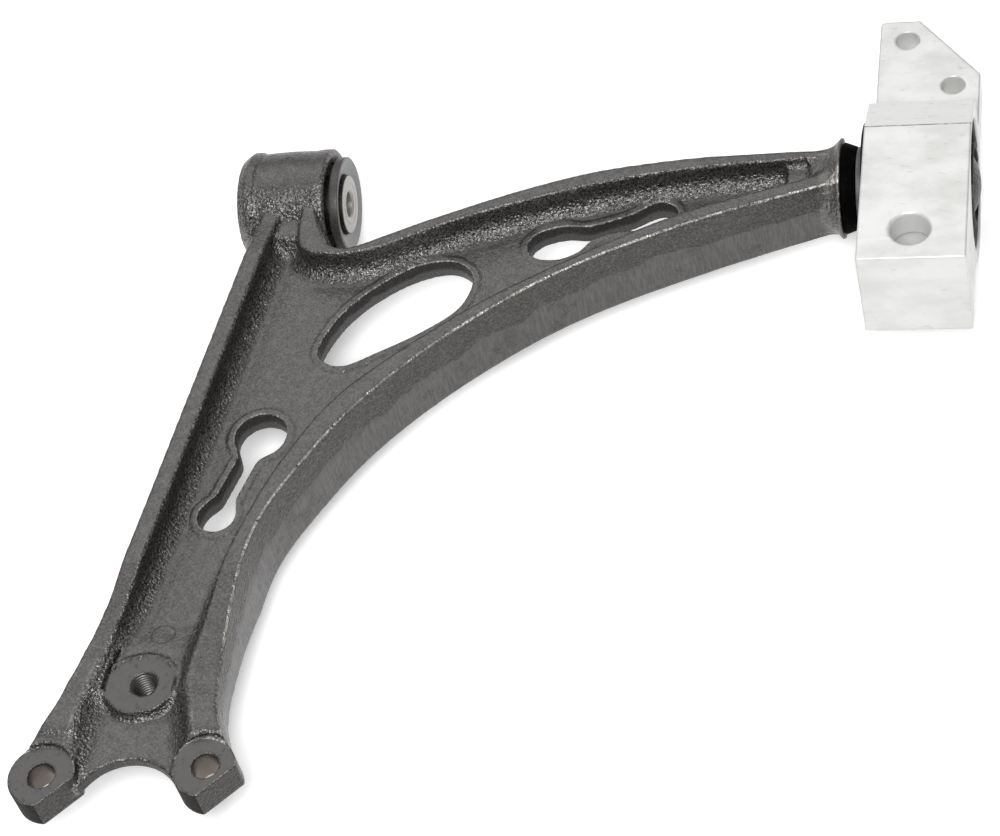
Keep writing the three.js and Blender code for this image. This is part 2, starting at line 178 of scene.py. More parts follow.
def path_distance(path, x, y):
    """Distance from each point to an open path, and how far along the path its nearest point is."""
    best = np.full(np.broadcast(x, y).shape, np.inf)
    along = np.zeros(best.shape)
    start = 0.0
    for (ax, ay), (bx, by) in zip(path[:-1], path[1:]):
        ex, ey = bx - ax, by - ay
        length = math.hypot(ex, ey)
        t = np.clip(((x - ax) * ex + (y - ay) * ey) / length**2, 0, 1)
        distance = np.hypot(x - ax - ex * t, y - ay - ey * t)
        nearer = distance < best
        best = np.where(nearer, distance, best)
        along = np.where(nearer, start + t * length, along)
        start += length
    return best, along


def outline_distance(outline, x, y):
    """Distance from each point to a closed outline, negative inside it."""
    best = np.full(np.broadcast(x, y).shape, np.inf, np.float32)
    inside = np.zeros(best.shape, bool)
    for (ax, ay), (bx, by) in zip(outline, np.roll(outline, -1, 0)):
        ex, ey = bx - ax, by - ay
        px, py = x - ax, y - ay
        t = np.clip((px * ex + py * ey) / (ex * ex + ey * ey), 0, 1)
        best = np.minimum(best, (px - ex * t) ** 2 + (py - ey * t) ** 2)
        if ay != by:
            inside ^= ((ay > y) != (by > y)) & (px < ex * py / ey)
    return np.where(inside, -1, 1) * np.sqrt(best)


def slot_distance(big, small, neck, x, y):
    """Distance to two round lobes joined by a neck with soft inner corners."""
    lobes = np.minimum(*(np.hypot(x - cx, y - cy) - radius for cx, cy, radius in (big, small)))
    line = path_distance(np.array([big[:2], small[:2]]), x, y)[0] - neck
    return round_union(lobes, line, FILLET["slot"])


class Plan:
    """Plan distances of the casting, worked out once on a fine grid and read off between its points."""

    low = (-84.0, -372.0)
    high = (362.0, 36.0)
    step = 0.6

    def __init__(self):
        x = np.arange(self.low[0], self.high[0], self.step, dtype=np.float32)[:, None]
        y = np.arange(self.low[1], self.high[1], self.step, dtype=np.float32)[None, :]
        self.grids = {
            "left": outline_distance(strip(LEFT_RIB), x, y),
            "outer": outline_distance(strip(OUTER_FLANGE), x, y),
            "upper": outline_distance(strip(UPPER_RIB), x, y),
            "web": outline_distance(web_outline(), x, y),
            "oval": outline_distance(spline(OVAL_HOLE, closed=True), x, y),
            "slot": outline_distance(spline(UPPER_SLOT, closed=True), x, y),
        }

    def read(self, name, x, y):
        grid = self.grids[name]
        u = np.clip((x - self.low[0]) / self.step, 0, grid.shape[0] - 1.001)
        v = np.clip((y - self.low[1]) / self.step, 0, grid.shape[1] - 1.001)
        i, j = u.astype(int), v.astype(int)
        u, v = u - i, v - j
        return (
            grid[i, j] * (1 - u) * (1 - v)
            + grid[i + 1, j] * u * (1 - v)
            + grid[i, j + 1] * (1 - u) * v
            + grid[i + 1, j + 1] * u * v
        )


# ---- solids as distance fields


def round_union(a, b, radius):
    """The join of two solids, with a fillet where they meet."""
    corner = np.hypot(np.maximum(radius - a, 0), np.maximum(radius - b, 0))
    return np.maximum(radius, np.minimum(a, b)) - corner


def round_cut(a, b, radius):
    """What two solids share, with a rounded edge where their surfaces meet."""
    corner = np.hypot(np.maximum(radius + a, 0), np.maximum(radius + b, 0))
    return np.minimum(-radius, np.maximum(a, b)) + corner


def ease(low, high, value):
    """Rises smoothly from 0 to 1 as value goes from low to high."""
    t = np.clip((value - low) / (high - low), 0, 1)
    return t * t * (3 - 2 * t)


def ripple(x, y, z, wavelength, seed):
    """A gentle uneven swell between about -1 and 1."""
    draw = np.random.RandomState(seed)
    total = 0
    for _ in range(7):
        wave = draw.normal(size=3)
        wave *= 2 * math.pi / (np.linalg.norm(wave) * wavelength * draw.uniform(0.6, 1.6))
        total = total + np.sin(x * wave[0] + y * wave[1] + z * wave[2] + draw.uniform(0, 6.28))
    return total / 3


def profile_distance(profile, x, radius):
    """Distance to a solid turned about the swing axis, from its [x, radius] profile."""
    return outline_distance(np.asarray(profile, float), x, radius)


def contour(field, low, high, step):
    """The surface of a solid given as a distance field, by dual contouring: vertices, quads and normals."""
    axes = [np.arange(a, b, step, dtype=np.float32) for a, b in zip(low, high)]
    grid = np.meshgrid(*axes, indexing="ij", sparse=True)
    values = np.broadcast_to(field(*grid), [len(axis) for axis in axes]).astype(np.float32)
    inside = values < 0
    cells = np.array(values.shape) - 1
    points, quads = [], []
    for axis in range(3):
        unit = np.eye(3, dtype=int)[axis]
        count = values.shape[axis]
        before = np.take(inside, range(count - 1), axis)
        after = np.take(inside, range(1, count), axis)
        nodes = np.argwhere(before != after)
        start, end = values[tuple(nodes.T)], values[tuple((nodes + unit).T)]
        place = np.stack([axes[k][nodes[:, k]] for k in range(3)], 1).astype(float)
        place += (start / (start - end))[:, None] * unit * step
        points.append(place)
        u, v = np.eye(3, dtype=int)[(axis + 1) % 3], np.eye(3, dtype=int)[(axis + 2) % 3]
        ring = [nodes, nodes - u, nodes - u - v, nodes - v]
        quad = np.stack([np.ravel_multi_index(tuple(corner.T), cells) for corner in ring], 1)
        outward = before[tuple(nodes.T)]
        quads.append(np.where(outward[:, None], quad, quad[:, ::-1]))
    points, quads = np.concatenate(points), np.concatenate(quads)
    slope = gradient(field, points)
    steepness = np.linalg.norm(slope, axis=1) + 1e-9
    normals = slope / steepness[:, None]
    planes = np.einsum("ij,ij->i", normals, points) - field(*points.T) / steepness
    active, corners = np.unique(quads, return_inverse=True)
    corners = corners.reshape(quads.shape)

    def gather(weights):
        return sum(np.bincount(corners[:, k], weights, len(active)) for k in range(4))

    count = gather(np.ones(len(points)))
    middle = np.stack([gather(points[:, k]) for k in range(3)], 1) / count[:, None]
    matrix = np.empty((len(active), 3, 3))
    for i in range(3):
        for j in range(3):
            matrix[:, i, j] = gather(normals[:, i] * normals[:, j])
    right = np.stack([gather(normals[:, k] * planes) for k in range(3)], 1)
    right -= np.einsum("nij,nj->ni", matrix, middle)
    pull = 0.15  # holds each vertex near the middle of its crossings where the surface is flat
    offset = np.linalg.solve(matrix + pull * np.eye(3), right[:, :, None])[:, :, 0]
    cell = np.stack(np.unravel_index(active, cells), 1)
    corner = np.stack([axes[k][cell[:, k]] for k in range(3)], 1)
    vertices = np.clip(middle + offset, corner - 0.05 * step, corner + 1.05 * step)
    smooth = np.stack([gather(normals[:, k]) for k in range(3)], 1)
    smooth /= np.linalg.norm(smooth, axis=1)[:, None] + 1e-9
    return vertices, corners, smooth


def gradient(field, points):
    reach = 0.15
    slope = []
    for axis in range(3):
        shift = np.zeros(3)
        shift[axis] = reach
        slope.append(field(*(points + shift).T) - field(*(points - shift).T))
    return np.stack(slope, 1) / (2 * reach)


# ---- the casting


def rib_height(x, y):
    """Half height of the ribs, with the corners of HEIGHT_BY_Y softened."""
    by_y = sum(np.interp(y + d, *zip(*HEIGHT_BY_Y)) for d in (-1.4, 0, 1.4)) / 3
    by_eye = EYE_DROP * ease(-52, -22, y) * ease(14, 2, x)
    return np.minimum(by_y, np.interp(x, *zip(*HEIGHT_BY_X))) - by_eye


def web_height(y):
    """Half thickness of the web: thicker round the pad, and thinner at the fork."""
    thick = WEB + (APRON - WEB) * ease(-262, -284, y)
    return thick + (FORK_WEB - APRON) * ease(-302, -312, y)


def eye_field(x, radius):
    """The barrel: a bead at its left end, a shallow waist beside it, and a raised rim at its right end."""
    end, rim, body = EYE["half"], EYE["rim"], EYE["radius"]
    profile = [
        (-end - 0.5, 0), (-end - 0.5, 24.6), (-20.4, 27.2), (-18.4, body), (-15.4, body), (-13.4, 27.4),
        (-10, 27.8), (0, body), (14, body), (end - 5, rim), (end - 1, rim), (end + 0.5, rim - 1.6),
        (end + 0.5, 0),
    ]
    return profile_distance(profile, x, radius)


def saddle_field(x, y, az):
    """Joins the eye to the web between the two ribs that reach it."""
    slope = math.radians(60)
    middle, half_width, height, foot = 5, 10, 15.5, -34.5
    across = np.abs(x - middle) - half_width
    front = (foot - y) * math.sin(slope) + (az - height) * math.cos(slope)
    return round_cut(round_cut(across, az - height, 1), np.maximum(front, y + 10), 2)


def collar_field(x, y, az, radius):
    """The flared neck with the block that closes the pocket beside it, and the stub on their own."""
    face, rim, neck = COLLAR["face"], COLLAR["rim"], COLLAR["neck"]
    profile = [
        (COLLAR["start"], 0), (COLLAR["start"], neck - 1), (face - 9, neck + 1.2), (face - 5.5, neck + 3),
        (face - 2.6, rim - 1.8), (face - 1, rim), (face, rim - 0.3), (face, 0),
    ]
    turned = profile_distance(profile, x, radius)
    box = np.maximum(np.abs(y + 4.5) - 10.5, np.maximum(260.5 - x, x - 284))
    block = round_cut(box, az - 14, 1)
    end = np.hypot(x - STUB["end"] + STUB["dome"], radius) - STUB["dome"]
    stub = round_cut(radius - STUB["radius"], np.maximum(end, face - 1 - x), EDGE["stub"])
    return round_union(turned, block, FILLET["pocket_floor"]), stub


def lug_parts(x, y):
    """Plan distance to the outline of the nearer lug."""
    far = 100 * (x < -20)  # keeps the trim off the left lug
    side = np.hypot(x - LUG_TRIM[0], y - LUG_TRIM[1]) - LUG_TRIM[2] - far
    lugs = []
    for cx, cy, cut in LUGS:
        circle = np.hypot(x - cx, y - cy) - LUG["radius"]
        flat = (x - cx) * math.cos(LUG_CUT) + (y - cy) * math.sin(LUG_CUT) - cut
        lugs.append(round_cut(np.maximum(circle, side), flat, EDGE["flat"]))
    return np.minimum(*lugs)


def spot_distance(x, y):
    """Plan distance to the round machined faces of the lugs and the pad."""
    faces = [np.hypot(x - cx, y - cy) - LUG["radius"] - 0.1 for cx, cy, _ in LUGS]
    faces.append(pad_distance(x, y))
    return np.minimum.reduce(faces)


def pad_distance(x, y):
    """Plan distance to the outline of the threaded pad."""
    return path_distance(np.array(PAD["ends"]), x, y)[0] - PAD["radius"]


def hole_distance(plan, x, y):
    """Plan distance to the nearest of the three openings in the web."""
    return np.minimum.reduce([
        plan.read("oval", x, y), plan.read("slot", x, y), slot_distance(*LOWER_SLOT, x, y),
    ])


def cast_body(plan, x, y, z):
    """The casting before it is machined, the half thickness of its web and the distance to its openings."""
    az, radius = np.abs(z), np.hypot(y, z)
    top = rib_height(x, y)
    lean = DRAFT * (top - az)
    flats = {name: plan.read(name, x, y) for name in ("left", "outer", "upper", "web")}
    tall = np.minimum(flats["left"], flats["outer"])
    hull = np.minimum.reduce([tall, flats["upper"], flats["web"]]) - lean
    upper = round_cut(flats["upper"] - lean, np.maximum(z - top, -z - UPPER_RIB_LOW), EDGE["rib"])
    ribs = np.minimum(round_cut(tall - lean, az - top, EDGE["rib"]), upper)
    holes = hole_distance(plan, x, y)
    thick = web_height(y)
    web = round_cut(flats["web"], az - thick, EDGE["web"])
    lip = round_cut(np.abs(holes - 1.5) - 1.8, az - thick - 0.6, EDGE["lip"])
    web = round_union(web, lip, FILLET["lip"])
    grown = FILLET["rib"] + (FILLET["rib_by_fork"] - FILLET["rib"]) * ease(-290, -318, y)
    body = np.maximum(round_union(ribs, web, grown), hull)
    body = round_union(body, saddle_field(x, y, az), FILLET["saddle"])
    lugs = round_cut(lug_parts(x, y), az - LUG["half"] - 0.3, EDGE["face"])
    body = round_union(body, lugs, FILLET["lug"])
    boss = round_cut(pad_distance(x, y), az - LUG["half"] - 0.12, EDGE["face"])
    body = round_union(body, boss, FILLET["pad"])
    turned, stub = collar_field(x, y, az, radius)
    body = round_union(body, turned, FILLET["neck"])
    body = round_union(body, eye_field(x, radius), FILLET["eye"])
    uneven = ease(0.5, 3, np.minimum(lug_parts(x, y), pad_distance(x, y))) * ease(295, 288, x)
    body = body + uneven * (0.035 * ripple(x, y, z, 9, 4) + 0.03 * ripple(x, y, z, 3.6, 8))
    return np.minimum(body, stub), thick, holes


def casting_field(plan):
    def field(x, y, z):
        az, radius = np.abs(z), np.hypot(y, z)
        body, thick, holes = cast_body(plan, x, y, z)
        # the fork and the cored openings, which widen a little towards the outside
        fork = np.hypot(x - FORK["x"], y - FORK["y"]) - FORK["radius"]
        fork = np.maximum(fork, np.maximum(FORK["left"] - x, x - FORK["right"]))
        body = round_cut(body, -fork, EDGE["fork"])
        body = round_cut(body, -(holes + 0.10 * (thick + 1 - az)), EDGE["opening"])
        # the machined faces, the groove by the pad and the holes through the faces
        spots = np.maximum(spot_distance(x, y), LUG["half"] - az)
        body = round_cut(body, -spots, EDGE["spot"])
        groove = np.maximum(path_distance(np.array(PAD_GROOVE), x, y)[0] - 0.6, 6.2 - az)
        body = round_cut(body, -groove, EDGE["groove"])
        for cx, cy, _ in LUGS:
            drilled = np.hypot(x - cx, y - cy) - LUG["hole"] + LUG_TAPER * (LUG["half"] - z)
            body = np.maximum(body, np.maximum(z - LUG["half"] + 0.15, 0) - drilled)
        tapped = np.hypot(x - PAD["ends"][0][0], y - PAD["ends"][0][1]) - PAD["sink"]
        body = np.maximum(body, -tapped)
        # the ends and the bore of the eye
        beyond = np.maximum(radius - EYE["rim"] - 0.6, np.abs(x) - 40)
        faces = np.maximum(EYE["half"] - np.abs(x), beyond)
        body = round_cut(body, -faces, EDGE["eye"])
        bore = radius - EYE["bore"] - np.clip(x - EYE["half"] + 2, 0, 2)
        return round_cut(body, -np.maximum(bore, np.abs(x) - EYE["half"] - 2), EDGE["bore"])

    return field


def thread_mesh():
    """The threaded wall of the pad's hole, as a closed ring that ends just below the faces."""
    sides, rows, pitch, depth = 72, 96, 1.75, 0.85
    outer, half = PAD["sink"] + 0.2, LUG["half"] - 0.03
    angle = np.linspace(0, 2 * math.pi, sides, endpoint=False)[:, None]
    z = np.linspace(-half, half, rows)[None, :]
    turn = np.abs(((z / pitch - angle / (2 * math.pi)) % 1) * 2 - 1)
    groove = PAD["hole"] + depth * ease(0.15, 0.85, turn)
    inner = np.maximum(groove, PAD["sink"] - (half - np.abs(z)))
    radii = np.concatenate([inner, np.full((sides, 2), outer)], 1)
    heights = np.concatenate([z[0], [half, -half]])
    x = PAD["ends"][0][0] + radii * np.cos(angle)
    y = PAD["ends"][0][1] + radii * np.sin(angle)
    vertices = np.stack([x, y, np.broadcast_to(heights, x.shape)], 2).reshape(-1, 3)
    return vertices, ring_quads(sides, rows + 2)[:, ::-1]


def ring_quads(sides, rows):
    """Quads of a grid that closes on itself both ways."""
    i, j = np.meshgrid(np.arange(sides), np.arange(rows), indexing="ij")
    across, up = (i + 1) % sides, (j + 1) % rows
    return np.stack([i * rows + j, across * rows + j, across * rows + up, i * rows + up], 2).reshape(-1, 4)


# ---- meshes


def make_object(name, vertices, faces, normals=None, sharp=35):
    """A smooth object from design millimetres. Without normals, edges over the sharp angle stay sharp."""
    mesh = bpy.data.meshes.new(name)
    mesh.from_pydata(to_model(vertices).tolist(), [], np.asarray(faces).tolist())
    mesh.validate()
    mesh.polygons.foreach_set("use_smooth", [True] * len(mesh.polygons))
    if normals is None:
        mesh.set_sharp_from_angle(angle=math.radians(sharp))
    else:
        mesh.normals_split_custom_set_from_vertices(normals.tolist())
    mesh.update()
    piece = bpy.data.objects.new(name, mesh)
    bpy.context.scene.collection.objects.link(piece)
    return piece


def add_mark(piece, name, values):
    """A number at each vertex, which the materials read."""
    attribute = piece.data.attributes.new(name, "FLOAT", "POINT")
    attribute.data.foreach_set("value", np.asarray(values, np.float32))


def rounded(corners):
    """A closed profile from corners of (x, radius, rounding), with each corner as an arc of four steps."""
    result = []
    count = len(corners)
    for i, (x, y, rounding) in enumerate(corners):
        here = np.array([x, y], float)
        if rounding == 0:
            result.append(here)
            continue
        before = np.array(corners[(i - 1) % count][:2], float) - here
        after = np.array(corners[(i + 1) % count][:2], float) - here
        before /= np.linalg.norm(before)
        after /= np.linalg.norm(after)
        half = math.acos(np.clip(before @ after, -1, 1)) / 2
        reach = rounding / math.tan(half)
        centre = here + (before + after) / np.linalg.norm(before + after) * rounding / math.sin(half)
        first, last = here + before * reach - centre, here + after * reach - centre
        for t in np.linspace(0, 1, 5):
            arm = first * (1 - t) + last * t
            result.append(centre + arm / np.linalg.norm(arm) * rounding)
    return np.array(result)


def lathe(name, corners):
    """A closed ring turned about the swing axis from corners of (x, radius, rounding)."""
    sides = 144
    profile = rounded(corners)
    angle = np.linspace(0, 2 * math.pi, sides, endpoint=False)[:, None]
    x = np.broadcast_to(profile[:, 0], (sides, len(profile)))
    vertices = np.stack([x, profile[:, 1] * np.cos(angle), profile[:, 1] * np.sin(angle)], 2).reshape(-1, 3)
    quads = ring_quads(sides, len(profile))
    area = np.sum(profile[:, 0] * np.roll(profile[:, 1], -1) - np.roll(profile[:, 0], -1) * profile[:, 1])
    return make_object(name, vertices, quads[:, ::-1] if area > 0 else quads)


# ---- the pieces of the casting

COARSENESS = 1.0  # the grids below are in millimetres


def arm_casting():
    plan = Plan()
    low, high = (-80.3, -369.2, -30.6), (358.1, 30.7, 30.9)
    vertices, quads, normals = contour(casting_field(plan), low, high, 1.17 * COARSENESS)
    extra, extra_quads = thread_mesh()
    piece = make_object("arm_casting_body", vertices, quads, normals)
    x, y, z = vertices.T
    outer_line, along = path_distance(spline(OUTER_FLANGE[0]), x, y)
    top = rib_height(x, y)
    ribs = np.maximum.reduce([-np.abs(plan.read(name, x, y)) for name in ("left", "outer", "upper")])
    ribs -= 50 * (np.hypot(y, z) < EYE["rim"] + 1) * (x < 35)  # no worn edges on the eye
    marks = {
        "outer_edge": np.abs(z) - top - outer_line,
        "rib_edge": np.abs(z) - top + ribs,
        "outer_wall": ease(3.2, 2.2, outer_line) * ease(0.5, 0.3, np.abs(normals[:, 2])),
        "along": along,
        "opening": hole_distance(plan, x, y),
        "lug_edge": lug_parts(x, y),
    }
    for name, values in marks.items():
        add_mark(piece, name, values)
    thread = make_object("arm_casting_thread", extra, extra_quads, sharp=60)
    return piece, thread


# ---- the rear bracket and its rubber

BRACKET = {"left": 300.0, "right": 352.7, "front": -77.4, "top": 36.0, "ridge": 8.2, "foot": -18.2}
BRACKET_BACK = {"y": 34.2, "z": 25.0, "wall": 40.0}
FLANGE = {
    "top": -2.5, "back": 117.5, "cut_x": 320.5, "cut_y": 78.0, "corner": 3.0, "hole": 6.1, "bend": 3.5,
}
FLANGE_HOLES = [(314.5, 103.7), (339.0, 70.8)]
BOLT_HOLE = {"x": 325.5, "y": -58.9, "radius": 9.9, "depth": 14.4, "lower": 12.0}
HOUSING = {"bore": 33.0, "belly": 38.5}
GAP = 0.3  # between pieces that would otherwise touch


def bracket_profile():
    """The extruded section, as (y, z) points."""
    foot, wall = BRACKET["foot"], BRACKET_BACK["wall"]
    reach = math.asin(-foot / HOUSING["belly"])
    belly = [
        (HOUSING["belly"] * math.cos(t), HOUSING["belly"] * math.sin(t))
        for t in np.linspace(math.pi + reach, 2 * math.pi - reach, 40)
    ]
    bend = [
        (wall + FLANGE["bend"] * (1 - math.cos(t)), FLANGE["top"] + FLANGE["bend"] * (1 - math.sin(t)))
        for t in np.linspace(math.pi / 2, 0, 8)
    ]
    return np.array([
        (BRACKET["front"], foot), *belly, (FLANGE["back"], foot), (FLANGE["back"], FLANGE["top"]), *bend,
        (wall - 1.5, 14), (BRACKET_BACK["y"], BRACKET_BACK["z"]), (BRACKET["ridge"], BRACKET["top"]),
        (BRACKET["front"], BRACKET["top"]),
    ])


def bracket_field(x, y, z):
    section = outline_distance(bracket_profile(), y, z)
    middle = (BRACKET["left"] + BRACKET["right"]) / 2
    half = (BRACKET["right"] - BRACKET["left"]) / 2
    run = np.array([BRACKET["right"] - FLANGE["cut_x"], FLANGE["cut_y"] - FLANGE["back"]])
    run /= np.linalg.norm(run)
    slant = (x - FLANGE["cut_x"]) * -run[1] + (y - FLANGE["back"]) * run[0]
    corner = round_cut(BRACKET["left"] - x, y - FLANGE["back"], FLANGE["corner"])
    plan = round_cut(np.maximum(slant, corner), np.abs(x - middle) - half, 0.5)
    body = round_cut(section, plan, 0.5)
    radius = np.hypot(y, z)
    body = round_cut(body, HOUSING["bore"] - radius, 0.8)
    bolt = np.hypot(x - BOLT_HOLE["x"], y - BOLT_HOLE["y"])
    body = np.maximum(body, BOLT_HOLE["radius"] + np.clip(z - BRACKET["top"] + 0.9, 0, 1) - bolt)
    floor = z - BRACKET["top"] + BOLT_HOLE["depth"]
    body = np.maximum(body, -np.maximum(bolt - BOLT_HOLE["lower"], floor))
    for cx, cy in FLANGE_HOLES:
        hole = np.hypot(x - cx, y - cy)
        body = np.maximum(body, FLANGE["hole"] + np.maximum(z - FLANGE["top"] + 0.5, 0) - hole)
    return body


def rear_bracket():
    low, high = (298.1, -79.3, -40.2), (354.9, 119.6, 38.3)
    return make_object("rear_bracket_body", *contour(bracket_field, low, high, 0.93 * COARSENESS))


SLEEVE = {
    "outer": HOUSING["bore"] - GAP,
    "inner": 31.2,
    "left": BRACKET["left"] - 1.5,
    "right": BRACKET["right"] - 1,
}
CORE = {
    "inner": STUB["radius"] + GAP,
    "outer": 18.0,
    "flange": 20.6,
    "left": 295.0,
    "step": 298.2,
    "right": 351.2,
}


def rear_rubber_field(x, y, z):
    """A ring with low ribs on its right end and two slots into it, above and below the core."""
    radius = np.hypot(y, z)
    inner, outer = CORE["outer"] + GAP, SLEEVE["inner"] - GAP
    left, right = CORE["step"] + 2, SLEEVE["right"] + 1.2 * ease(outer, inner, radius)
    wall = np.abs(radius - (inner + outer) / 2) - (outer - inner) / 2
    body = np.maximum(wall, left - x)
    spokes = 0.5 * np.cos(np.arctan2(y, z) * 14) * ease(4, 2, np.abs(radius - 24.5))
    body = round_cut(body, x - right - spokes, 0.8)
    sweep = np.arctan2(np.abs(y), np.abs(z)) - 0.7
    slot = np.maximum(wall + 3, sweep * radius)
    slot = round_cut(slot, left + 14 - x, 1)
    return round_cut(body, -slot, 1)


def rear_rubber():
    low, high = (298.9, -32.7, -32.3), (356.1, 32.6, 32.9)
    return make_object("rear_bush_rubber_body", *contour(rear_rubber_field, low, high, 1.1 * COARSENESS))


def turned_pieces():
    """The turned and moulded rings of the two bushes, by the CAD node that each stands for."""
    bore = EYE["bore"] - GAP
    core, sleeve = CORE, SLEEVE
    return {
        "front_bush_outer_sleeve": lathe("front_bush_outer_sleeve_ring", [
            (-21.5, 22.1, 0.3), (21.5, 22.1, 0.3), (21.5, bore, 0.5), (-21.5, bore, 0.5),
        ]),
        "front_bush_rubber": lathe("front_bush_rubber_ring", [
            (-20, 15.5, 0.4), (20, 15.5, 0.4), (19.6, 16.6, 0.5), (17.2, 18.4, 1.2), (19.6, 20.6, 0.6),
            (20, 21.8, 0.3), (-20, 21.8, 0.3), (-19.6, 20.6, 0.6), (-17.2, 18.4, 1.2), (-19.6, 16.6, 0.5),
        ]),
        "front_bush_inner_sleeve": lathe("front_bush_inner_sleeve_ring", [
            (-26, 7.5, 0.2), (-25.1, 6.6, 0.2), (29.3, 6.6, 0.2), (30.3, 7.6, 0.2), (30.4, 9.6, 0.1),
            (30.15, 10.3, 0.2), (30.15, 10.9, 0.2), (30.4, 11.6, 0.1), (30.4, 14.7, 0.3), (29.9, 15.2, 0.2),
            (-25.4, 15.2, 0.3), (-26, 14.6, 0.3),
        ]),
        "front_bush_stop_disc": lathe("front_bush_stop_disc_ring", [
            (25.3, 15.6, 0.2), (27.9, 15.6, 0.2), (28.9, 19.0, 3), (30.45, 23.5, 0.3), (29.8, 24.6, 0.3),
            (26.0, 24.6, 0.4), (25.3, 23.8, 0.3),
        ]),
        "rear_bush_outer_sleeve": lathe("rear_bush_outer_sleeve_ring", [
            (sleeve["left"], sleeve["inner"], 0.4), (sleeve["right"], sleeve["inner"], 0.3),
            (sleeve["right"], sleeve["outer"], 0.4), (sleeve["left"], sleeve["outer"], 0.5),
        ]),
        "rear_bush_inner_core": lathe("rear_bush_inner_core_ring", [
            (core["left"], core["inner"], 0.2), (core["right"], core["inner"], 0.4),
            (core["right"], core["outer"], 0.8), (core["step"], core["outer"], 0.6),
            (core["step"], core["flange"], 0.4), (core["left"], core["flange"], 0.4),
        ]),
        "rear_bush_stop_ring": lathe("rear_bush_stop_ring_cone", [
            (COLLAR["face"] + GAP, core["inner"], 0.2), (core["left"] - GAP, core["inner"], 0.2),
            (core["left"] - GAP, 20.8, 0.5), (COLLAR["face"] + GAP + 0.9, 23.0, 0.4),
            (COLLAR["face"] + GAP, 22.6, 0.3),
        ]),
    }


# ---- materials


